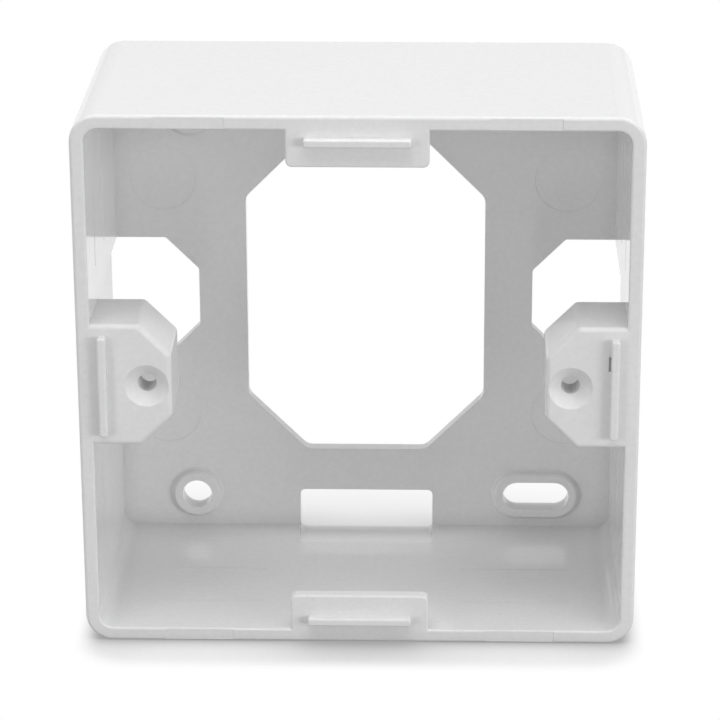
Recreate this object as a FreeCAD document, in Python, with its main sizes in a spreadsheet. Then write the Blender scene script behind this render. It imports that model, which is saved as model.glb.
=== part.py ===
"""Surface mount jack box: one injection moulded back box, open at the front, with two screw lugs, two tongues and
four locating ribs on its rim, and core openings and a cable entry in its back wall. Millimetres, +Z up, and the
open front faces -Y. The body is drawn about the middle of its rim plane and then placed on the surface it stands on.
"""
import FreeCAD, Part
import Sketcher
import math
import os
import re

NODE = "back_box"
SHEET = "sizes"

# Driving sizes in millimetres, each with what it measures
SIZES = {
    "box_width": (80.0, "outer width"),
    "box_height": (80.0, "outer height"),
    "box_depth": (40.0, "rim plane to back face"),
    "side_wall": (2.0, "thickness of the four walls"),
    "back_wall": (2.0, "thickness of the back wall"),
    "corner_radius": (4.0, "outer corners, seen from the front"),
    "rim_rounding": (0.5, "outer edge of the rim"),
    "mouth_rounding": (0.3, "inner edge of the rim, round the lugs and tongues"),
    "back_rounding": (0.5, "outer edge of the back face"),
    "screw_spacing": (60.3, "between the two cover screws"),
    "lug_reach": (13.4, "outer side to the lug's inner face"),
    "lug_height": (18.3, "lug across the screw"),
    "lug_chamfer": (4.5, "inner corners of the lug"),
    "lug_depth": (11.0, "rim plane to the lug's back"),
    "lug_plate": (5.4, "solid front of the lug, ahead of its core"),
    "lug_shell": (1.5, "walls round the lug's core"),
    "lug_edge_rounding": (1.0, "inner corners of the lug"),
    "lug_front_rounding": (0.7, "front edges of the lug"),
    "pilot_diameter": (2.7, "hole for a self-tapping cover screw"),
    "countersink_diameter": (6.3, "mouth of the screw hole"),
    "countersink_depth": (1.5, "depth of the screw hole's mouth"),
    "tongue_width": (20.0, "tongue along the wall"),
    "tongue_reach": (7.4, "outer face to the tongue's free edge"),
    "tongue_thickness": (1.7, "tongue, front to back"),
    "tongue_corner": (0.9, "free corners of the tongue"),
    "rib_length": (15.0, "rib along its wall"),
    "rib_thickness": (1.2, "rib across"),
    "rib_rise": (1.3, "rib ahead of the rim plane"),
    "rib_inset": (3.65, "outer face to the rib's centre line"),
    "rib_corner": (0.4, "corners of the rib, seen from the front"),
    "rib_rounding": (0.3, "front edges of the rib"),
    "entry_width": (36.4, "eight-sided cable entry, across"),
    "entry_height": (50.2, "eight-sided cable entry, up"),
    "entry_chamfer": (9.0, "corners of the cable entry"),
    "entry_corner": (2.0, "rounding of the entry's eight corners"),
    "port_side_gap": (1.1, "lug port past the lug's inner face"),
    "port_end_gap": (0.4, "lug port past the lug's top and bottom"),
    "port_chamfer": (5.0, "inner corners of the lug port"),
    "port_ramp": (3.0, "slope where the lug port runs into the side wall"),
    "slot_side_gap": (0.35, "tongue port past the tongue's sides"),
    "slot_edge_gap": (0.6, "tongue port past the tongue's free edge"),
    "slot_ramp": (7.0, "slope where the tongue port runs out along its wall"),
    "port_corner": (0.8, "rounding of the ports' corners"),
    "core_skin": (0.9, "wall left outside the ports"),
    "fixing_side_gap": (11.5, "inner side wall to each wall fixing"),
    "fixing_floor_gap": (5.4, "inner bottom wall to the lower wall fixings"),
    "fixing_ceiling_gap": (8.2, "inner top wall to the upper wall fixing"),
    "fixing_diameter": (4.6, "wall screw holes, and the slot's width"),
    "fixing_slot": (10.3, "wall screw slot, end to end"),
    "pad_margin": (1.5, "raised pad round each wall fixing"),
    "pad_rise": (0.9, "pad ahead of the back wall"),
    "pad_bevel": (0.35, "front edge and foot of a pad"),
    "ejector_diameter": (10.0, "ejector pin mark"),
    "ejector_side_gap": (7.3, "inner side wall to each ejector mark"),
    "ejector_end_gap": (19.0, "inner top or bottom wall to each ejector mark"),
    "ejector_recess": (0.05, "depth of an ejector mark"),
    "score_offset": (22.8, "box centre to the middle of a score"),
    "score_length": (16.4, "score along the wall"),
    "score_width": (0.5, "score across"),
    "score_recess": (0.04, "depth of a score"),
    "score_near": (9.8, "rim plane to the first score"),
    "score_far": (21.3, "rim plane to the second score"),
    "notch_offset": (23.4, "box centre to the middle of a rim notch"),
    "notch_width": (10.0, "rim notch ahead of the scores"),
    "notch_recess": (0.06, "depth of a rim notch"),
    "pit_width": (0.3, "pit at the foot of the right rib, across"),
    "pit_bottom": (2.6, "box centre to the pit's lower end"),
    "pit_top": (4.8, "box centre to the pit's upper end"),
    "pit_depth": (0.5, "depth of the pit"),
}

# Places worked out from the driving sizes, as distances from the middle of the rim plane
PLACES = {
    "half_width": "box_width / 2",
    "half_height": "box_height / 2",
    "cavity_width": "box_width - 2 * side_wall",
    "cavity_height": "box_height - 2 * side_wall",
    "cavity_side": "cavity_width / 2",
    "cavity_top": "cavity_height / 2",
    "cavity_depth": "box_depth - back_wall",
    "cavity_radius": "max(corner_radius - side_wall; 0.2)",
    "lug_inner": "half_width - lug_reach",
    "lug_root": "half_width - side_wall / 2",
    "lug_top": "lug_height / 2",
    "lug_shoulder": "lug_top - lug_chamfer",
    "lug_bevel_end": "lug_inner + lug_chamfer",
    "core_inner": "lug_inner + lug_shell",
    "core_top": "lug_top - lug_shell",
    "core_bevel": "lug_chamfer - lug_shell * (2 - sqrt(2))",
    "core_shoulder": "core_top - core_bevel",
    "core_bevel_end": "core_inner + core_bevel",
    "core_depth": "box_depth - lug_plate",
    "port_inner": "lug_inner - port_side_gap",
    "port_top": "lug_top + port_end_gap",
    "port_shoulder": "port_top - port_chamfer",
    "port_bevel_end": "port_inner + port_chamfer",
    "port_ramp_end": "port_top - port_ramp",
    "port_depth": "box_depth - lug_depth",
    "skin_side": "half_width - core_skin",
    "skin_top": "half_height - core_skin",
    "screw_offset": "screw_spacing / 2",
    "tongue_side": "tongue_width / 2",
    "tongue_edge": "half_height - tongue_reach",
    "tongue_root": "half_height - side_wall / 2",
    "slot_side": "tongue_side + slot_side_gap",
    "slot_width": "2 * slot_side",
    "slot_edge": "tongue_edge - slot_edge_gap",
    "slot_ramp_end": "cavity_depth - slot_ramp",
    "rib_side": "half_width - rib_inset",
    "rib_top": "half_height - rib_inset",
    "rib_end": "rib_length / 2",
    "rib_near": "rib_side - rib_thickness / 2",
    "rib_far": "rib_side + rib_thickness / 2",
    "rib_low": "rib_top - rib_thickness / 2",
    "rib_high": "rib_top + rib_thickness / 2",
    "entry_side": "entry_width / 2",
    "entry_top": "entry_height / 2",
    "entry_bevel_end": "entry_side - entry_chamfer",
    "entry_shoulder": "entry_top - entry_chamfer",
    "fixing_offset": "cavity_side - fixing_side_gap",
    "fixing_drop": "cavity_top - fixing_floor_gap",
    "fixing_lift": "cavity_top - fixing_ceiling_gap",
    "pad_radius": "fixing_diameter / 2 + pad_margin",
    "pad_plane": "cavity_depth - pad_rise",
    "fixing_radius": "fixing_diameter / 2",
    "fixing_left_end": "fixing_offset - (fixing_slot - fixing_diameter) / 2",
    "fixing_right_end": "fixing_offset + (fixing_slot - fixing_diameter) / 2",
    "ejector_offset": "cavity_side - ejector_side_gap",
    "ejector_lift": "cavity_top - ejector_end_gap",
    "ejector_radius": "ejector_diameter / 2",
    "score_start": "score_offset - score_length / 2",
    "score_end": "score_offset + score_length / 2",
    "near_front": "score_near - score_width / 2",
    "near_back": "score_near + score_width / 2",
    "far_front": "score_far - score_width / 2",
    "far_back": "score_far + score_width / 2",
    "pit_inner": "rib_near - pit_width",
    "notch_start": "notch_offset - notch_width / 2",
    "notch_end": "notch_offset + notch_width / 2",
    "countersink_angle": "2 * atan((countersink_diameter - pilot_diameter) / 2 / countersink_depth) / 1 deg",
    "rim_place": "(rib_rise - box_depth) / 2",
}

TOUCHING = 1e-4


def bound(text):
    """Turns names of the sheet into references to it."""
    return re.sub(r"[a-z]+(?:_[a-z]+)+", lambda name: f"{SHEET}.{name.group(0)}", text)


class JackBox:
    """The box under construction, with short ways to draw on it and to add features to it."""

    def __init__(self, doc):
        self.doc = doc
        self.sheet = doc.addObject("Spreadsheet::Sheet", SHEET)
        for row, (name, (value, meaning)) in enumerate(SIZES.items(), start=1):
            self.write_row(row, name, repr(value), meaning)
        for row, (name, formula) in enumerate(PLACES.items(), start=len(SIZES) + 2):
            self.write_row(row, name, f"={formula}", "worked out")
        doc.recompute()
        self.body = doc.addObject("PartDesign::Body", NODE)
        self.body.Label = NODE
        self.volume = 0.0

    def write_row(self, row, name, content, meaning):
        """One size: its name, its value under that name, and what it measures."""
        self.sheet.set(f"A{row}", name)
        self.sheet.set(f"B{row}", content)
        self.sheet.set(f"C{row}", meaning)
        self.sheet.setAlias(f"B{row}", name)

    def value(self, name):
        """The present value of a name of the sheet, which may carry a minus sign."""
        size = float(getattr(self.sheet, name.lstrip("-")))
        return -size if name.startswith("-") else size

    def plane(self, role):
        """One of the body's own origin planes."""
        return next(item for item in self.body.Origin.OriginFeatures if item.Role == role)

    def sketch(self, name, role="XZ_Plane", offset=None):
        """An empty sketch on an origin plane, moved along the plane's normal by a named size."""
        sketch = self.body.newObject("Sketcher::SketchObject", name)
        sketch.AttachmentSupport = [(self.plane(role), "")]
        sketch.MapMode = "FlatFace"
        if offset:
            sketch.setExpression("AttachmentOffset.Base.z", bound(offset))
        return sketch

    def recompute(self, item):
        """Brings the document up to date and raises if the item failed."""
        self.doc.recompute()
        if item.Shape.isNull() or "Invalid" in item.State or "Error" in item.State:
            raise RuntimeError(f"{item.Name} failed: {item.getStatusString()}")

    def finish(self, item, adds):
        """Makes the feature the newest one and tests that it added or cut something."""
        self.body.Tip = item
        self.recompute(item)
        change = item.Shape.Volume - self.volume
        if change * adds <= 0:
            raise RuntimeError(f"{item.Name} changed the volume by {change:.4f}")
        self.volume = item.Shape.Volume
        return item

    def pad(self, sketch, name, length, backwards=False):
        """Raises a sketch by a named length, forwards or towards the back."""
        pad = self.body.newObject("PartDesign::Pad", name)
        pad.Profile = sketch
        pad.setExpression("Length", bound(length))
        pad.Reversed = backwards
        return self.finish(pad, 1)

    def pocket(self, sketch, name, length=None, forwards=False):
        """Cuts a sketch by a named length, or through all, towards the back or forwards."""
        pocket = self.body.newObject("PartDesign::Pocket", name)
        pocket.Profile = sketch
        if length:
            pocket.setExpression("Length", bound(length))
        else:
            pocket.Type = "ThroughAll"
        pocket.Reversed = forwards
        return self.finish(pocket, -1)

    def mirror(self, feature, name, role, adds):
        """Repeats a feature on the other side of an origin plane."""
        mirrored = self.body.newObject("PartDesign::Mirrored", name)
        mirrored.Originals = [feature]
        mirrored.MirrorPlane = (self.plane(role), [""])
        return self.finish(mirrored, adds)

    def round_edges(self, name, radius, wanted):
        """Rounds the edges of the newest feature whose ends and middle pass a test."""
        return self.dress_edges("PartDesign::Fillet", name, "Radius", radius, wanted)

    def bevel_edges(self, name, size, wanted):
        """Bevels the edges of the newest feature whose ends and middle pass a test."""
        return self.dress_edges("PartDesign::Chamfer", name, "Size", size, wanted)

    def dress_edges(self, kind, name, measure, size, wanted):
        """Adds a rounding or a bevel of a named size to the edges that pass a test."""
        tip = self.body.Tip
        names = []
        for number, edge in enumerate(tip.Shape.Edges, start=1):
            middle = edge.valueAt((edge.FirstParameter + edge.LastParameter) / 2)
            points = [vertex.Point for vertex in edge.Vertexes] + [middle]
            if wanted(points):
                names.append(f"Edge{number}")
        if not names:
            raise RuntimeError(f"{name} found no edges")
        dressing = self.body.newObject(kind, name)
        dressing.Base = (tip, names)
        dressing.setExpression(measure, bound(size))
        self.body.Tip = dressing
        self.recompute(dressing)
        self.volume = dressing.Shape.Volume
        return dressing

    def bind(self, sketch, constraint, name):
        """Adds a constraint whose value follows the sheet."""
        index = sketch.addConstraint(constraint)
        sketch.setExpression(f"Constraints[{index}]", bound(name))

    def pin(self, sketch, geometry, point, across, up):
        """Ties a point of a sketch to two named distances from the sketch's origin."""
        self.bind(sketch, Sketcher.Constraint("DistanceX", -1, 1, geometry, point, self.value(across)), across)
        self.bind(sketch, Sketcher.Constraint("DistanceY", -1, 1, geometry, point, self.value(up)), up)

    def point(self, across, up):
        """A point of a sketch from two names."""
        return FreeCAD.Vector(self.value(across), self.value(up), 0)

    def polygon(self, sketch, corners):
        """A closed outline through corners given as pairs of names."""
        points = [self.point(across, up) for across, up in corners]
        lines = []
        for start, end in zip(points, points[1:] + points[:1]):
            lines.append(sketch.addGeometry(Part.LineSegment(start, end), False))
        for line, following in zip(lines, lines[1:] + lines[:1]):
            sketch.addConstraint(Sketcher.Constraint("Coincident", line, 2, following, 1))
        for line, (across, up) in zip(lines, corners):
            self.pin(sketch, line, 1, across, up)

    def rectangle(self, sketch, left, bottom, right, top):
        """An upright rectangle between four names."""
        self.polygon(sketch, [(left, bottom), (right, bottom), (right, top), (left, top)])

    def circle(self, sketch, across, up, radius):
        """A circle about a point given by two names."""
        ring = Part.Circle(self.point(across, up), FreeCAD.Vector(0, 0, 1), self.value(radius))
        index = sketch.addGeometry(ring, False)
        self.pin(sketch, index, 3, across, up)
        self.bind(sketch, Sketcher.Constraint("Radius", index, self.value(radius)), radius)

    def round_ended(self, sketch, first, second, radius):
        """A slot with round ends about two points, each given as a pair of names."""
        centres = [self.point(*first), self.point(*second)]
        along = (centres[1] - centres[0]).normalize()
        side = FreeCAD.Vector(-along.y, along.x, 0) * self.value(radius)
        nose = along * self.value(radius)
        arcs = []
        for centre, turn in ((centres[0], -1), (centres[1], 1)):
            arc = Part.Arc(centre - side * turn, centre + nose * turn, centre + side * turn)
            arcs.append(sketch.addGeometry(arc, False))
        lines = []
        for start, end in ((centres[0] - side, centres[1] - side), (centres[1] + side, centres[0] + side)):
            lines.append(sketch.addGeometry(Part.LineSegment(start, end), False))
        for arc, before, after in ((arcs[1], lines[0], lines[1]), (arcs[0], lines[1], lines[0])):
            sketch.addConstraint(Sketcher.Constraint("Tangent", before, 2, arc, 1))
            sketch.addConstraint(Sketcher.Constraint("Tangent", arc, 2, after, 1))
        for arc, names in zip(arcs, (first, second)):
            self.pin(sketch, arc, 3, *names)
        self.bind(sketch, Sketcher.Constraint("Radius", arcs[0], self.value(radius)), radius)


def make_shell(box):
    """The square tub with its rounded corners."""
    outline = box.sketch("outer_outline")
    box.rectangle(outline, "-half_width", "-half_height", "half_width", "half_height")
    box.pad(outline, "block", "box_depth", backwards=True)
    box.round_edges("corners", "corner_radius", along_depth)

    mouth = box.sketch("cavity_outline")
    box.rectangle(mouth, "-cavity_side", "-cavity_top", "cavity_side", "cavity_top")
    box.pocket(mouth, "cavity", "cavity_depth")

    def cavity_corner(points):
        return along_depth(points) and abs(abs(points[0].x) - box.value("cavity_side")) < TOUCHING

    box.round_edges("cavity_corners", "cavity_radius", cavity_corner)


def along_depth(points):
    """True for a straight edge that runs from front to back."""
    first, last = points[0], points[1]
    return abs(first.x - last.x) < TOUCHING and abs(first.z - last.z) < TOUCHING and abs(first.y - last.y) > TOUCHING


def make_screw_lugs(box):
    """Blocks with bevelled inner corners inside the left and right walls, flush with the rim."""
    outline = box.sketch("lug_outline")
    box.polygon(outline, [
        ("lug_root", "-lug_top"),
        ("lug_root", "lug_top"),
        ("lug_bevel_end", "lug_top"),
        ("lug_inner", "lug_shoulder"),
        ("lug_inner", "-lug_shoulder"),
        ("lug_bevel_end", "-lug_top"),
    ])
    lug = box.pad(outline, "right_lug", "lug_depth", backwards=True)
    box.mirror(lug, "left_lug", "YZ_Plane", 1)

    def inner_corner(points):
        return along_depth(points) and abs(points[0].x) < box.value("lug_bevel_end") + TOUCHING

    box.round_edges("lug_corners", "lug_edge_rounding", inner_corner)


def make_tongues(box):
    """Thin plates inside the top and bottom walls, flush with the rim."""
    outline = box.sketch("tongue_outline")
    box.rectangle(outline, "-tongue_side", "tongue_edge", "tongue_side", "tongue_root")
    tongue = box.pad(outline, "top_tongue", "tongue_thickness", backwards=True)
    box.mirror(tongue, "bottom_tongue", "XY_Plane", 1)

    def free_corner(points):
        at_side = abs(abs(points[0].x) - box.value("tongue_side")) < TOUCHING
        at_edge = abs(abs(points[0].z) - box.value("tongue_edge")) < TOUCHING
        return along_depth(points) and at_side and at_edge

    box.round_edges("tongue_corners", "tongue_corner", free_corner)


def make_lug_ports(box):
    """Openings that the cores behind the lugs leave in the back wall, and the lugs' hollow backs."""
    outline = box.sketch("lug_port_outline", offset="-box_depth")
    box.polygon(outline, [
        ("port_bevel_end", "port_top"),
        ("cavity_side", "port_top"),
        ("skin_side", "port_ramp_end"),
        ("skin_side", "-port_ramp_end"),
        ("cavity_side", "-port_top"),
        ("port_bevel_end", "-port_top"),
        ("port_inner", "-port_shoulder"),
        ("port_inner", "port_shoulder"),
    ])
    port = box.pocket(outline, "right_lug_port", "port_depth", forwards=True)
    box.mirror(port, "left_lug_port", "YZ_Plane", -1)

    hollow = box.sketch("lug_core_outline", offset="-box_depth")
    box.polygon(hollow, [
        ("lug_root", "-core_top"),
        ("lug_root", "core_top"),
        ("core_bevel_end", "core_top"),
        ("core_inner", "core_shoulder"),
        ("core_inner", "-core_shoulder"),
        ("core_bevel_end", "-core_top"),
    ])
    core = box.pocket(hollow, "right_lug_core", "core_depth", forwards=True)
    box.mirror(core, "left_lug_core", "YZ_Plane", -1)


def make_tongue_ports(box):
    """Slots that the cores behind the tongues leave in the back wall, each with a ramp that runs out in its wall."""
    outline = box.sketch("tongue_port_outline", offset="-box_depth")
    box.rectangle(outline, "-slot_side", "slot_edge", "slot_side", "skin_top")
    port = box.pocket(outline, "top_tongue_port", "back_wall", forwards=True)
    box.mirror(port, "bottom_tongue_port", "XY_Plane", -1)

    slope = box.sketch("tongue_ramp_outline", role="YZ_Plane", offset="slot_side")
    box.polygon(slope, [
        ("slot_ramp_end", "cavity_top"),
        ("cavity_depth", "cavity_top"),
        ("cavity_depth", "skin_top"),
    ])
    ramp = box.pocket(slope, "top_tongue_ramp", "slot_width")
    box.mirror(ramp, "bottom_tongue_ramp", "XY_Plane", -1)


def make_cable_entry(box):
    """The large eight-sided opening in the middle of the back wall."""
    outline = box.sketch("entry_outline", offset="-box_depth")
    box.polygon(outline, [
        ("entry_side", "entry_shoulder"),
        ("entry_bevel_end", "entry_top"),
        ("-entry_bevel_end", "entry_top"),
        ("-entry_side", "entry_shoulder"),
        ("-entry_side", "-entry_shoulder"),
        ("-entry_bevel_end", "-entry_top"),
        ("entry_bevel_end", "-entry_top"),
        ("entry_side", "-entry_shoulder"),
    ])
    box.pocket(outline, "cable_entry", "back_wall", forwards=True)

    def entry_corner(points):
        inside = abs(points[0].x) < box.value("entry_side") + TOUCHING
        return along_depth(points) and inside and abs(points[0].z) < box.value("entry_top") + TOUCHING

    box.round_edges("entry_corners", "entry_corner", entry_corner)


def round_ports(box):
    """Small roundings on the corners of the openings behind the lugs and tongues."""
    length = box.value("back_wall")

    def port_corner(points):
        first, last = points[0], points[1]
        through_wall = along_depth(points) and abs(abs(first.y - last.y) - length) < TOUCHING
        by_lug = box.value("port_inner") - TOUCHING < abs(first.x) < box.value("port_bevel_end") + TOUCHING
        by_lug = by_lug and abs(first.z) < box.value("port_top") + TOUCHING
        by_tongue = abs(abs(first.x) - box.value("slot_side")) < TOUCHING
        by_tongue = by_tongue and abs(first.z) > box.value("slot_edge") - TOUCHING
        return through_wall and (by_lug or by_tongue)

    box.round_edges("port_corners", "port_corner", port_corner)


def make_wall_fixings(box):
    """Two round screw holes and a level slot through raised pads on the back wall."""
    upper = ("-fixing_offset", "fixing_lift")
    lower = ("-fixing_offset", "-fixing_drop")
    slot = (("fixing_left_end", "-fixing_drop"), ("fixing_right_end", "-fixing_drop"))

    pads = box.sketch("fixing_pad_outlines", offset="-pad_plane")
    box.circle(pads, *upper, "pad_radius")
    box.circle(pads, *lower, "pad_radius")
    box.round_ended(pads, *slot, "pad_radius")
    box.pad(pads, "fixing_pads", "pad_rise", backwards=True)

    def from_fixing(point):
        """How far a point lies, seen from the front, from the middle of its round hole or the slot's middle line."""
        if point.x < 0:
            level = box.value("fixing_lift") if point.z > 0 else -box.value("fixing_drop")
            return math.hypot(point.x + box.value("fixing_offset"), point.z - level)
        half_slot = box.value("fixing_right_end") - box.value("fixing_offset")
        across = max(abs(point.x - box.value("fixing_offset")) - half_slot, 0)
        return math.hypot(across, point.z + box.value("fixing_drop"))

    def pad_outline(points):
        """True on the front edges and the feet of the pads."""
        front = all(abs(point.y - box.value("pad_plane")) < TOUCHING for point in points)
        foot = all(abs(point.y - box.value("cavity_depth")) < TOUCHING for point in points)
        reach = box.value("pad_radius") + TOUCHING
        return (front or foot) and all(from_fixing(point) < reach for point in points)

    box.bevel_edges("pad_edges", "pad_bevel", pad_outline)

    holes = box.sketch("fixing_hole_outlines", offset="-pad_plane")
    box.circle(holes, *upper, "fixing_radius")
    box.circle(holes, *lower, "fixing_radius")
    box.round_ended(holes, *slot, "fixing_radius")
    box.pocket(holes, "fixing_holes")


def make_screw_holes(box):
    """Countersunk pilot holes through the solid fronts of the lugs."""
    centres = box.sketch("screw_centres")
    for place in ("screw_offset", "-screw_offset"):
        middle = FreeCAD.Vector(box.value(place), 0, 0)
        ring = Part.Circle(middle, FreeCAD.Vector(0, 0, 1), box.value("pilot_diameter") / 2)
        index = centres.addGeometry(ring, False)
        centres.addConstraint(Sketcher.Constraint("PointOnObject", index, 3, -1))
        box.bind(centres, Sketcher.Constraint("DistanceX", -1, 1, index, 3, middle.x), place)
        box.bind(centres, Sketcher.Constraint("Diameter", index, box.value("pilot_diameter")), "pilot_diameter")
    hole = box.body.newObject("PartDesign::Hole", "screw_holes")
    hole.Profile = centres
    box.doc.recompute()
    hole.ThreadType = "None"
    hole.DepthType = "ThroughAll"
    hole.HoleCutType = "Countersink"
    hole.HoleCutCustomValues = True
    hole.setExpression("Diameter", bound("pilot_diameter"))
    hole.setExpression("HoleCutDiameter", bound("countersink_diameter"))
    hole.setExpression("HoleCutCountersinkAngle", bound("countersink_angle"))
    box.finish(hole, -1)


def round_rim(box):
    """Roundings along the outer edge of the rim, the mouth's inner edge and the outer edge of the back face."""
    half_width = box.value("half_width")
    half_height = box.value("half_height")
    depth = box.value("box_depth")
    screw = box.value("screw_offset")
    mouth_radius = box.value("countersink_diameter") / 2 + TOUCHING

    def at_depth(points, place):
        return all(abs(point.y - place) < TOUCHING for point in points)

    def on_side(points):
        """True on a straight stretch of the outer outline, whose rounding runs on round the corners."""
        left_or_right = all(abs(abs(point.x) - half_width) < TOUCHING for point in points)
        top_or_bottom = all(abs(abs(point.z) - half_height) < TOUCHING for point in points)
        return left_or_right or top_or_bottom

    def in_screw_hole(points):
        return all((abs(point.x) - screw) ** 2 + point.z ** 2 < mouth_radius ** 2 for point in points)

    def at_mouth(points):
        sideways = all(abs(point.x) < box.value("cavity_side") + TOUCHING for point in points)
        upright = all(abs(point.z) < box.value("cavity_top") + TOUCHING for point in points)
        return at_depth(points, 0) and sideways and upright and not in_screw_hole(points)

    def on_lug(points):
        inner = box.value("lug_inner") - TOUCHING
        top = box.value("lug_top") + TOUCHING
        return all(abs(point.x) > inner and abs(point.z) < top for point in points)

    box.round_edges("rim_edge", "rim_rounding", lambda points: at_depth(points, 0) and on_side(points))
    box.round_edges("lug_fronts", "lug_front_rounding", lambda points: at_mouth(points) and on_lug(points))
    box.round_edges("mouth_edge", "mouth_rounding", lambda points: at_mouth(points) and not on_lug(points))
    box.round_edges("back_edge", "back_rounding", lambda points: at_depth(points, depth) and on_side(points))


def make_ribs(box):
    """Four narrow ribs ahead of the rim plane that centre the cover, one on each lug and tongue."""
    side = box.sketch("side_rib_outline")
    box.rectangle(side, "rib_near", "-rib_end", "rib_far", "rib_end")
    right = box.pad(side, "right_rib", "rib_rise")
    box.mirror(right, "left_rib", "YZ_Plane", 1)

    level = box.sketch("top_rib_outline")
    box.rectangle(level, "-rib_end", "rib_low", "rib_end", "rib_high")
    top = box.pad(level, "top_rib", "rib_rise")
    box.mirror(top, "bottom_rib", "XY_Plane", 1)

    front = -box.value("rib_rise")
    box.round_edges("rib_corners", "rib_corner", lambda points: along_depth(points) and points[-1].y < -TOUCHING)
    box.round_edges("rib_edges", "rib_rounding", lambda points: all(abs(p.y - front) < TOUCHING for p in points))


def make_pit(box):
    """A small pit in the front of the right lug, at the foot of its rib."""
    outline = box.sketch("pit_outline")
    box.rectangle(outline, "pit_inner", "pit_bottom", "rib_near", "pit_top")
    box.pocket(outline, "pit", "pit_depth")


def make_ejector_marks(box):
    """Shallow round marks of the mould's ejector pins on the back wall."""
    marks = box.sketch("ejector_outlines", offset="-cavity_depth")
    for side in ("", "-"):
        for level in ("", "-"):
            box.circle(marks, f"{side}ejector_offset", f"{level}ejector_lift", "ejector_radius")
    box.pocket(marks, "ejector_marks", "ejector_recess")


def make_knock_out_scores(box):
    """Shallow scores inside the four walls and notches in the rim, where a cable way can be broken out."""
    bands = (("near_front", "near_back"), ("far_front", "far_back"))
    level = box.sketch("level_scores", role="XY_Plane", offset="-cavity_top")
    upright = box.sketch("upright_scores", role="YZ_Plane", offset="-cavity_side")
    for sign in ("", "-"):
        for front, back in bands:
            box.rectangle(level, f"{sign}score_start", front, f"{sign}score_end", back)
            box.rectangle(upright, front, f"{sign}score_start", back, f"{sign}score_end")
    floor = box.pocket(level, "floor_scores", "score_recess")
    box.mirror(floor, "ceiling_scores", "XY_Plane", -1)
    left = box.pocket(upright, "left_scores", "score_recess")
    box.mirror(left, "right_scores", "YZ_Plane", -1)

    notches = box.sketch("notch_outlines")
    for side in ("", "-"):
        for edge in ("", "-"):
            box.rectangle(notches, f"{side}notch_start", f"{edge}tongue_edge", f"{side}notch_end", f"{edge}half_height")
    box.pocket(notches, "rim_notches", "notch_recess")


def check_document(doc):
    """Raises if any object of the document failed or went out of date."""
    failed = [item.Name for item in doc.Objects if "Invalid" in item.State or "Error" in item.State]
    if failed:
        raise RuntimeError(f"failed objects: {failed}")


def main():
    doc = FreeCAD.newDocument("surface_mount_jack_box")
    box = JackBox(doc)
    make_shell(box)
    make_screw_lugs(box)
    make_tongues(box)
    make_lug_ports(box)
    make_tongue_ports(box)
    make_cable_entry(box)
    round_ports(box)
    make_wall_fixings(box)
    make_screw_holes(box)
    round_rim(box)
    make_ribs(box)
    make_pit(box)
    make_ejector_marks(box)
    make_knock_out_scores(box)
    box.body.setExpression("Placement.Base.y", bound("rim_place"))
    box.body.setExpression("Placement.Base.z", bound("half_height"))
    doc.recompute()
    check_document(doc)

    shape = box.body.Shape
    if shape.isNull() or not shape.isValid() or len(shape.Solids) != 1:
        raise RuntimeError(f"{NODE} is not one valid solid")
    os.makedirs("parts", exist_ok=True)
    shape.exportStep(f"parts/{NODE}.step")
    print(f"{NODE}: {shape.Volume:.1f} mm3, {len(shape.Faces)} faces")


main()
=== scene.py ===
"""Surface mount jack box, moulded in glossy white plastic, standing on a white studio floor.

The box is one moulding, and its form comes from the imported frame. This file gives it the finish of polished
injection moulded plastic and sets up the floor, the lamps and the camera.
Metres, +Z up, open front towards -Y.
"""
import math
from collections import Counter

import bpy
from bpy.props import FloatProperty, FloatVectorProperty, PointerProperty
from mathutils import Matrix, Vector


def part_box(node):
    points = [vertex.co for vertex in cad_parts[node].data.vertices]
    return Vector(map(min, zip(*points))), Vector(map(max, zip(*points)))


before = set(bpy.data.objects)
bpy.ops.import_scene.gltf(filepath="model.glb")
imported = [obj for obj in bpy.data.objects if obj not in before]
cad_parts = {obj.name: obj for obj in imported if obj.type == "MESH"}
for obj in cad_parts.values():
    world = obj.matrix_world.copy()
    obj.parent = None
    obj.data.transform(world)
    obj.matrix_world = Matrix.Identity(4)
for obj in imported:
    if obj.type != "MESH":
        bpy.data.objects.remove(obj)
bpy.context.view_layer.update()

bl_info = {
    "name": "Surface mount jack box",
    "version": (1, 0, 0),
    "blender": (4, 5, 0),
    "location": "View3D > Sidebar > Jack Box",
    "description": "Finishes a moulded surface mount jack box and sets up its studio",
    "category": "Object",
}

BOX = "back_box"
MM = 0.001
FLOOR_LEVEL = 0.0

# How strongly the plastic bends light, and the scale at which heights of its relief are real ones.
REFRACTION = 1.53
RELIEF_SCALE = 1.0

# Patterns of the plastic: waves a metre, and layers of ever finer waves on top of them.
CLOUD_SCALE = 45
CLOUD_DETAIL = 3
SPOT_DETAIL = 3
STREAK_SCALE = 160
STREAK_DETAIL = 5
PEEL_DETAIL = 1
GRAIN_DETAIL = 2

# The streaks are drawn out from front to back and, less so, upwards.
STREAK_STRETCH = (1.0, 0.35, 0.6)

# Strength of the finer layers in soft and in crisp patterns, and the middle of every pattern.
SOFT_LAYERS = 0.5
CRISP_LAYERS = 0.6
PATTERN_MIDDLE = 0.5

# Samples of the painted shade in creases, of the softened edges and of the painted shade where the box meets
# the floor.
CREASE_SHADE_SAMPLES = 6
EDGE_SAMPLES = 6
CONTACT_SHADE_SAMPLES = 8

# Strength at which light is plain white.
PLAIN_WHITE = 1.0

# Sockets of a mix of colours or numbers: first input, second input and result.
MIX_SOCKETS = {"RGBA": (6, 7, 2), "FLOAT": (2, 3, 0)}

# Spacing of the nodes in the editor.
NODE_COLUMN = 220
NODE_ROW = 260

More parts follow.
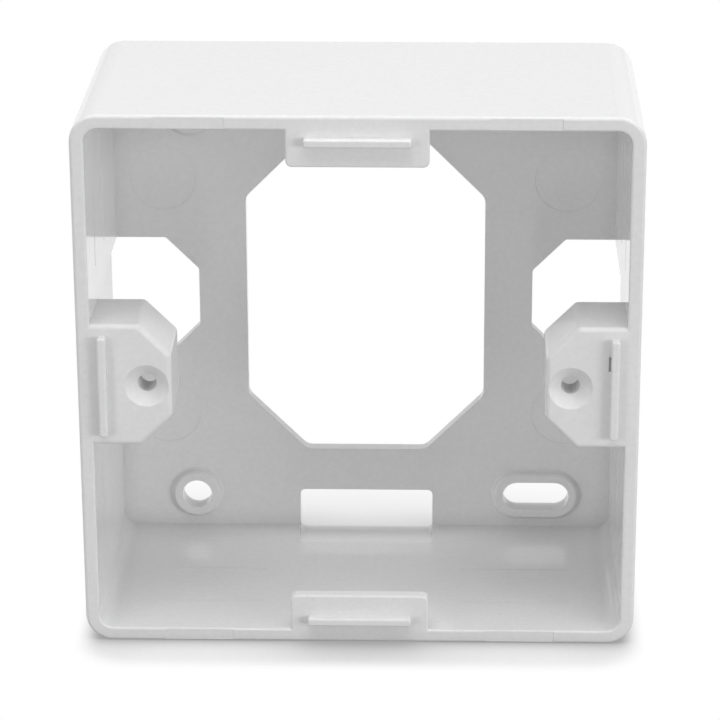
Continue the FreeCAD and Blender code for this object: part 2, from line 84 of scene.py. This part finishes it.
# Middle of the box, which every lamp faces, and each lamp's name, place, width, height and setting of power.
LAMP_TARGET = (0, 0, 0.04)
LAMPS = (
    ("overhead_lamp", (0, -0.1, 1.1), 1.0, 1.0, "overhead_power"),
    ("left_lamp", (-0.85, -0.8, 0.17), 0.35, 0.32, "left_power"),
    ("right_lamp", (0.85, -0.8, 0.17), 0.35, 0.32, "right_power"),
    ("side_lamp", (1.0, -0.55, 0.17), 0.6, 0.32, "side_power"),
)

# Nearest and furthest distance that the camera shows.
CAMERA_NEAR = 0.01
CAMERA_FAR = 50


class PlasticSettings(bpy.types.PropertyGroup):
    """Finish of the moulded plastic, with painted shade in its creases."""

    colour: FloatVectorProperty(
        name="Colour", description="Colour of the white plastic", subtype="COLOR",
        size=3, min=0, max=1, default=(0.91, 0.91, 0.91))
    mottle: FloatProperty(
        name="Mottle", description="How far the colour drifts across the moulding", subtype="FACTOR",
        min=0, max=0.2, default=0.02)
    speckle: FloatProperty(
        name="Speckle", description="How far the colour varies from spot to spot", subtype="FACTOR",
        min=0, max=0.3, default=0.12)
    speckle_size: FloatProperty(
        name="Speckle size", description="Spacing of the spots of slightly other colour", unit="LENGTH",
        min=0.0001, max=0.01, default=0.7 * MM)
    gloss_roughness: FloatProperty(
        name="Roughness", description="Roughness of the polished surface", subtype="FACTOR",
        min=0.02, max=1, default=0.11)
    roughness_spread: FloatProperty(
        name="Roughness spread", description="How far the roughness varies along the flow of the plastic",
        subtype="FACTOR", min=0, max=0.3, default=0.05)
    peel_size: FloatProperty(
        name="Peel size", description="Spacing of the slight waves of the surface", unit="LENGTH",
        min=0.0005, max=0.02, default=2.6 * MM)
    peel_depth: FloatProperty(
        name="Peel depth", description="Height of the slight waves of the surface", unit="LENGTH",
        min=0, max=0.0005, default=0.006 * MM)
    grain_size: FloatProperty(
        name="Grain size", description="Spacing of the fine grain left by the mould", unit="LENGTH",
        min=0.00005, max=0.002, default=0.22 * MM)
    grain_depth: FloatProperty(
        name="Grain depth", description="Height of the fine grain left by the mould", unit="LENGTH",
        min=0, max=0.0001, default=0.0009 * MM)
    # Painted shade: the two crease settings darken the plastic's colour in creases and corners of the
    # moulding.
    crease_shade_reach: FloatProperty(
        name="Crease reach", description="How far from a crease of the moulding its shade reaches",
        unit="LENGTH", min=0.0001, max=0.02, default=3 * MM)
    crease_shade_depth: FloatProperty(
        name="Crease depth", description="How much darker the plastic is in a crease", subtype="FACTOR",
        min=0, max=1, default=0.15)
    edge_radius: FloatProperty(
        name="Edge radius", description="Radius that sharp edges of the moulding are softened to",
        unit="LENGTH", min=0, max=0.001, default=0.05 * MM)


class StudioSettings(bpy.types.PropertyGroup):
    """Floor with its painted shadow fade and contact shade, lamps and camera."""

    floor_colour: FloatVectorProperty(
        name="Floor colour", description="Colour of the light that the floor throws back", subtype="COLOR",
        size=3, min=0, max=1, default=(0.3, 0.3, 0.3))
    floor_size: FloatProperty(
        name="Floor size", description="Side of the square floor", unit="LENGTH", min=1, default=8.0)
    # The reaches, inset, core and the two light shares shape a painted fade: plain white laid over the
    # floor's shadow.
    front_reach: FloatProperty(
        name="Front reach", description="Distance ahead of the box at which its shadow has run out",
        unit="LENGTH", min=0.0001, default=8.5 * MM)
    side_reach: FloatProperty(
        name="Side reach", description="Distance beside the box at which its shadow has run out",
        unit="LENGTH", min=0.0001, default=2 * MM)
    side_inset: FloatProperty(
        name="Side inset", description="How far inside the box's sides its shadow starts to run out",
        unit="LENGTH", min=0, default=6.5 * MM)
    shadow_core: FloatProperty(
        name="Shadow core", description="Share of the reach over which the floor keeps its whole shadow",
        subtype="FACTOR", min=0, max=0.99, default=0.5)
    edge_light: FloatProperty(
        name="Edge light", description="Share of plain white that the floor has right in front of the box",
        subtype="FACTOR", min=0, max=1, default=0.35)
    back_reach: FloatProperty(
        name="Back reach", description="Distance behind the box at which its shadow has run out",
        unit="LENGTH", min=0.0001, default=26 * MM)
    back_light: FloatProperty(
        name="Back light", description="Share of plain white that the floor has right behind the box",
        subtype="FACTOR", min=0, max=1, default=0.45)
    # Painted shade: the two contact settings darken the floor's colour where the box meets it.
    contact_shade_reach: FloatProperty(
        name="Contact reach", description="Distance over which the box darkens the floor under its edge",
        unit="LENGTH", min=0, default=12 * MM)
    contact_shade_depth: FloatProperty(
        name="Contact depth", description="How dark the floor turns where the box meets it",
        min=0, default=2.0)
    ambient: FloatProperty(
        name="Ambient", description="Level of the even light from all round", min=0, max=2, default=0.368)
    overhead_power: FloatProperty(
        name="Overhead lamp", description="Power of the soft lamp above the box", unit="POWER",
        min=0, default=8.7)
    left_power: FloatProperty(
        name="Left lamp", description="Power of the low lamp in front and to the left", unit="POWER",
        min=0, default=2.2)
    right_power: FloatProperty(
        name="Right lamp", description="Power of the low lamp in front and to the right", unit="POWER",
        min=0, default=1.65)
    side_power: FloatProperty(
        name="Side lamp", description="Power of the low lamp further round to the right", unit="POWER",
        min=0, default=3.1)
    camera_place: FloatVectorProperty(
        name="Camera place", description="Where the camera stands", subtype="TRANSLATION", unit="LENGTH",
        size=3, default=(0.0131, -0.4345, 0.2019))
    camera_pitch: FloatProperty(
        name="Camera pitch", description="How far the camera looks down", subtype="ANGLE",
        default=math.radians(20.14))
    camera_turn: FloatProperty(
        name="Camera turn", description="How far the camera is turned to the left", subtype="ANGLE",
        default=math.radians(1.07))
    lens: FloatProperty(
        name="Lens", description="Focal length on a 36 mm wide sensor", subtype="DISTANCE_CAMERA",
        unit="CAMERA", min=10, default=156.9)
    shift_across: FloatProperty(name="Shift across", description="Sideways shift of the lens", default=-0.05)
    shift_up: FloatProperty(name="Shift up", description="Upward shift of the lens", default=-0.05)


def add_node(tree, kind, inputs=None, **settings):
    """A node with its settings, whose inputs are linked to sockets or set to plain values."""
    node = tree.nodes.new(kind)
    for name, value in settings.items():
        setattr(node, name, value)
    for key, source in (inputs or {}).items():
        if isinstance(source, bpy.types.NodeSocket):
            tree.links.new(source, node.inputs[key])
        else:
            node.inputs[key].default_value = source
    return node


def lay_out(tree):
    """Set the nodes out in columns, each node to the left of those that it feeds."""
    column = dict.fromkeys(tree.nodes.keys(), 0)
    for _ in tree.nodes:
        for link in tree.links:
            before = column[link.to_node.name] + 1
            column[link.from_node.name] = max(column[link.from_node.name], before)
    filled = Counter()
    for node in tree.nodes:
        step = column[node.name]
        node.location = (-NODE_COLUMN * step, -NODE_ROW * filled[step])
        filled[step] += 1


def calculate(tree, operation, *values):
    """A sum, product or the like of sockets or plain numbers."""
    return add_node(tree, "ShaderNodeMath", dict(enumerate(values)), operation=operation).outputs["Value"]


def map_range(tree, value, low, high, start, interpolation="LINEAR"):
    """A value carried from the range between low and high to the range from a start to one."""
    inputs = {"Value": value, "From Min": low, "From Max": high, "To Min": start}
    return add_node(tree, "ShaderNodeMapRange", inputs, interpolation_type=interpolation).outputs["Result"]


def mix(tree, kind, factor, first, second, blend="MIX"):
    """A mix of two colours or numbers."""
    first_socket, second_socket, result = MIX_SOCKETS[kind]
    inputs = {"Factor": factor, first_socket: first, second_socket: second}
    return add_node(tree, "ShaderNodeMix", inputs, data_type=kind, blend_type=blend).outputs[result]


def noise(tree, place, scale, detail, layers=SOFT_LAYERS):
    """Three-dimensional noise whose scale is in waves a metre."""
    inputs = {"Vector": place, "Scale": scale, "Detail": detail, "Roughness": layers}
    return add_node(tree, "ShaderNodeTexNoise", inputs).outputs["Fac"]


def sized_noise(tree, place, size, detail, layers=SOFT_LAYERS):
    """Three-dimensional noise whose waves are a given size."""
    return noise(tree, place, calculate(tree, "DIVIDE", 1, size), detail, layers)


def drift(tree, pattern, amount):
    """A pattern as a drift to either side of nought, by a given amount."""
    return calculate(tree, "MULTIPLY", calculate(tree, "SUBTRACT", pattern, PATTERN_MIDDLE), amount)


def seen_directly(tree):
    """One for rays by which a surface is seen, also in gloss and through glass, and nought for the rest."""
    path = add_node(tree, "ShaderNodeLightPath").outputs
    seen = calculate(tree, "MAXIMUM", path["Is Camera Ray"], path["Is Glossy Ray"])
    return calculate(tree, "MAXIMUM", seen, path["Is Transmission Ray"])


def new_group(name, inputs, outputs):
    """An empty node group with its named numbers, the values that come in and the place on the object."""
    group = bpy.data.node_groups.new(name, "ShaderNodeTree")
    for in_out, sockets in (("INPUT", inputs), ("OUTPUT", outputs)):
        for socket in sockets:
            group.interface.new_socket(name=socket, in_out=in_out, socket_type="NodeSocketFloat")
    given = add_node(group, "NodeGroupInput").outputs
    place = add_node(group, "ShaderNodeTexCoord").outputs["Object"]
    return group, given, place


def new_material(name):
    """An empty node material and its tree."""
    material = bpy.data.materials.new(name)
    material.use_nodes = True
    material.node_tree.nodes.clear()
    return material, material.node_tree


def build_surface_group():
    """Node group for the surface of a moulding: drift of colour, drift of gloss and height of the relief."""
    group, given, place = new_group(
        "moulded_surface",
        inputs=("Mottle", "Speckle", "Speckle Size", "Roughness", "Spread",
                "Peel Size", "Peel Depth", "Grain Size", "Grain Depth"),
        outputs=("Shade", "Roughness", "Height"))

    cloud = drift(group, noise(group, place, CLOUD_SCALE, CLOUD_DETAIL), given["Mottle"])
    spots = sized_noise(group, place, given["Speckle Size"], SPOT_DETAIL, CRISP_LAYERS)
    spots = drift(group, spots, given["Speckle"])
    shade = calculate(group, "ADD", calculate(group, "ADD", cloud, spots), 1)

    flow = add_node(group, "ShaderNodeMapping", {"Vector": place, "Scale": STREAK_STRETCH}).outputs["Vector"]
    streaks = noise(group, flow, STREAK_SCALE, STREAK_DETAIL, CRISP_LAYERS)
    roughness = calculate(group, "ADD", drift(group, streaks, given["Spread"]), given["Roughness"])

    peel = sized_noise(group, place, given["Peel Size"], PEEL_DETAIL)
    peel = calculate(group, "MULTIPLY", peel, given["Peel Depth"])
    grain = sized_noise(group, place, given["Grain Size"], GRAIN_DETAIL, CRISP_LAYERS)
    grain = calculate(group, "MULTIPLY", grain, given["Grain Depth"])
    height = calculate(group, "ADD", peel, grain)

    add_node(group, "NodeGroupOutput", {"Shade": shade, "Roughness": roughness, "Height": height})
    lay_out(group)
    return group


def build_plastic(settings):
    """Glossy white plastic: slightly mottled, with painted shade in its creases, a polished but slightly wavy
    skin and softened edges.
    """
    material, tree = new_material("moulded_white_plastic")
    surface = add_node(tree, "ShaderNodeGroup", {
        "Mottle": settings.mottle,
        "Speckle": settings.speckle,
        "Speckle Size": settings.speckle_size,
        "Roughness": settings.gloss_roughness,
        "Spread": settings.roughness_spread,
        "Peel Size": settings.peel_size,
        "Peel Depth": settings.peel_depth,
        "Grain Size": settings.grain_size,
        "Grain Depth": settings.grain_depth,
    }, node_tree=build_surface_group()).outputs

    # Painted shade: ambient occlusion darkens the colour in creases and corners of the moulding.
    crease = add_node(
        tree, "ShaderNodeAmbientOcclusion", {"Distance": settings.crease_shade_reach}, samples=CREASE_SHADE_SAMPLES)
    kept = map_range(tree, crease.outputs["AO"], 0, 1, 1 - settings.crease_shade_depth)
    shade = calculate(tree, "MULTIPLY", surface["Shade"], kept)
    colour = mix(tree, "RGBA", 1, (*settings.colour, 1), shade, "MULTIPLY")

    edges = add_node(tree, "ShaderNodeBevel", {"Radius": settings.edge_radius}, samples=EDGE_SAMPLES)
    relief = add_node(tree, "ShaderNodeBump", {
        "Strength": 1,
        "Distance": RELIEF_SCALE,
        "Height": surface["Height"],
        "Normal": edges.outputs["Normal"],
    })
    shader = add_node(tree, "ShaderNodeBsdfPrincipled", {
        "IOR": REFRACTION,
        "Base Color": colour,
        "Roughness": surface["Roughness"],
        "Normal": relief.outputs["Normal"],
    })
    add_node(tree, "ShaderNodeOutputMaterial", {"Surface": shader.outputs["BSDF"]})
    lay_out(tree)
    return material


def build_painted_shadow_fade_group():
    """Node group for the painted fade of the box's shadow: a footprint round the origin sets the share of
    plain white.
    """
    group, given, place = new_group(
        "shadow_fade",
        inputs=("Half Width", "Half Depth", "Side Reach", "Front Reach",
                "Core", "Edge Light", "Back Reach", "Back Light"),
        outputs=("Fade",))
    axes = add_node(group, "ShaderNodeSeparateXYZ", {0: place}).outputs
    aside = calculate(group, "ABSOLUTE", axes["X"])
    ahead = calculate(group, "MULTIPLY", axes["Y"], -1)
    shares = {}
    for axis, away, half, reach in (
        ("X", aside, "Half Width", "Side Reach"),
        ("Y", ahead, "Half Depth", "Front Reach"),
    ):
        beyond = calculate(group, "MAXIMUM", calculate(group, "SUBTRACT", away, given[half]), 0)
        shares[axis] = calculate(group, "DIVIDE", beyond, given[reach])
    away = add_node(group, "ShaderNodeCombineXYZ", shares).outputs[0]
    distance = add_node(group, "ShaderNodeVectorMath", {0: away}, operation="LENGTH").outputs["Value"]
    fore = map_range(group, distance, given["Core"], 1, given["Edge Light"], "SMOOTHSTEP")

    behind = calculate(group, "SUBTRACT", axes["Y"], given["Half Depth"])
    ramp = map_range(group, behind, 0, given["Back Reach"], given["Back Light"])
    rear = calculate(group, "MULTIPLY", ramp, calculate(group, "GREATER_THAN", behind, 0))

    add_node(group, "NodeGroupOutput", {"Fade": calculate(group, "MAXIMUM", fore, rear)})
    lay_out(group)
    return group


def build_floor_finish(settings):
    """Matt floor that keeps the box's shadow close to it, with painted contact shade where the box meets it,
    and turns plain white further away along a painted fade.
    """
    material, tree = new_material("studio_floor")
    low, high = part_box(BOX)
    # Painted fade: the box's footprint, not the lamps, sets where plain white covers the floor's shadow.
    fade = add_node(tree, "ShaderNodeGroup", {
        "Half Width": (high.x - low.x) / 2 - settings.side_inset,
        "Half Depth": (high.y - low.y) / 2,
        "Side Reach": settings.side_reach + settings.side_inset,
        "Front Reach": settings.front_reach,
        "Core": settings.shadow_core,
        "Edge Light": settings.edge_light,
        "Back Reach": settings.back_reach,
        "Back Light": settings.back_light,
    }, node_tree=build_painted_shadow_fade_group()).outputs["Fade"]
    seen = seen_directly(tree)
    plain = calculate(tree, "MULTIPLY", seen, fade)

    # Painted shade: ambient occlusion darkens the floor's colour where the box meets it.
    contact_occlusion = add_node(
        tree, "ShaderNodeAmbientOcclusion", {"Distance": settings.contact_shade_reach}, samples=CONTACT_SHADE_SAMPLES)
    painted_contact_shade = calculate(tree, "POWER", contact_occlusion.outputs["AO"], settings.contact_shade_depth)
    colour = mix(tree, "RGBA", seen, (*settings.floor_colour, 1), painted_contact_shade)
    matt = add_node(tree, "ShaderNodeBsdfDiffuse", {"Color": colour}).outputs["BSDF"]
    white = add_node(tree, "ShaderNodeEmission", {"Strength": PLAIN_WHITE}).outputs["Emission"]
    mixed = add_node(tree, "ShaderNodeMixShader", {0: plain, 1: matt, 2: white}).outputs["Shader"]
    add_node(tree, "ShaderNodeOutputMaterial", {"Surface": mixed})
    lay_out(tree)
    return material


def build_world(settings):
    """Even light from all round, seen as plain white behind the floor."""
    world = bpy.data.worlds.new("studio_surround")
    world.use_nodes = True
    tree = world.node_tree
    tree.nodes.clear()
    level = mix(tree, "FLOAT", seen_directly(tree), settings.ambient, PLAIN_WHITE)
    light = add_node(tree, "ShaderNodeBackground", {"Strength": level}).outputs["Background"]
    add_node(tree, "ShaderNodeOutputWorld", {"Surface": light})
    lay_out(tree)
    bpy.context.scene.world = world


def add_lamp(name, place, width, height, power):
    """A rectangular soft lamp that faces the middle of the box and leaves no image of itself in the gloss."""
    across, along, up = (b - a for a, b in zip(place, LAMP_TARGET))
    pitch = math.atan2(math.hypot(across, along), -up)
    turn = math.atan2(along, across) - math.pi / 2
    bpy.ops.object.light_add(type="AREA", location=place, rotation=(pitch, 0, turn))
    lamp = bpy.context.object
    lamp.name = name
    lamp.data.name = name
    lamp.data.shape = "RECTANGLE"
    lamp.data.size = width
    lamp.data.size_y = height
    lamp.data.energy = power
    lamp.visible_glossy = False


class JACKBOX_OT_dress_box(bpy.types.Operator):
    """Give the moulded box its glossy white plastic"""

    bl_idname = "jackbox.dress_box"
    bl_label = "Dress Box"
    bl_options = {"REGISTER", "UNDO"}

    def execute(self, context):
        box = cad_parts[BOX]
        plastic = build_plastic(context.scene.jackbox_plastic)
        for slot in box.material_slots:
            slot.material = plastic
        return {"FINISHED"}


class JACKBOX_OT_set_stage(bpy.types.Operator):
    """Lay the floor, hang the lamps and place the camera"""

    bl_idname = "jackbox.set_stage"
    bl_label = "Set Stage"
    bl_options = {"REGISTER", "UNDO"}

    def execute(self, context):
        settings = context.scene.jackbox_studio
        bpy.ops.object.select_all(action="DESELECT")
        bpy.ops.mesh.primitive_plane_add(size=settings.floor_size, location=(0, 0, FLOOR_LEVEL))
        floor = context.object
        floor.name = "studio_floor"
        floor.data.materials.append(build_floor_finish(settings))

        build_world(settings)
        for name, place, width, height, power in LAMPS:
            add_lamp(name, place, width, height, getattr(settings, power))

        bpy.ops.object.camera_add(
            location=settings.camera_place,
            rotation=(math.pi / 2 - settings.camera_pitch, 0, settings.camera_turn))
        camera = context.object
        camera.name = "camera"
        camera.data.lens = settings.lens
        camera.data.shift_x = settings.shift_across
        camera.data.shift_y = settings.shift_up
        camera.data.clip_start = CAMERA_NEAR
        camera.data.clip_end = CAMERA_FAR
        context.scene.camera = camera
        context.scene.view_settings.view_transform = "Standard"
        return {"FINISHED"}


class JACKBOX_PT_panel(bpy.types.Panel):
    """Finish and studio of the jack box"""

    bl_label = "Jack Box"
    bl_idname = "JACKBOX_PT_panel"
    bl_space_type = "VIEW_3D"
    bl_region_type = "UI"
    bl_category = "Jack Box"

    def draw(self, context):
        for group, operator in (
            (context.scene.jackbox_plastic, JACKBOX_OT_dress_box.bl_idname),
            (context.scene.jackbox_studio, JACKBOX_OT_set_stage.bl_idname),
        ):
            column = self.layout.box().column()
            for name in group.bl_rna.properties.keys():
                if name not in {"rna_type", "name"}:
                    column.prop(group, name)
            column.operator(operator)


CLASSES = (PlasticSettings, StudioSettings, JACKBOX_OT_dress_box, JACKBOX_OT_set_stage, JACKBOX_PT_panel)


def register():
    for cls in CLASSES:
        bpy.utils.register_class(cls)
    bpy.types.Scene.jackbox_plastic = PointerProperty(type=PlasticSettings)
    bpy.types.Scene.jackbox_studio = PointerProperty(type=StudioSettings)


def unregister():
    del bpy.types.Scene.jackbox_studio
    del bpy.types.Scene.jackbox_plastic
    for cls in reversed(CLASSES):
        bpy.utils.unregister_class(cls)


def main():
    register()
    bpy.ops.jackbox.dress_box()
    bpy.ops.jackbox.set_stage()


if __name__ == "__main__":
    main()
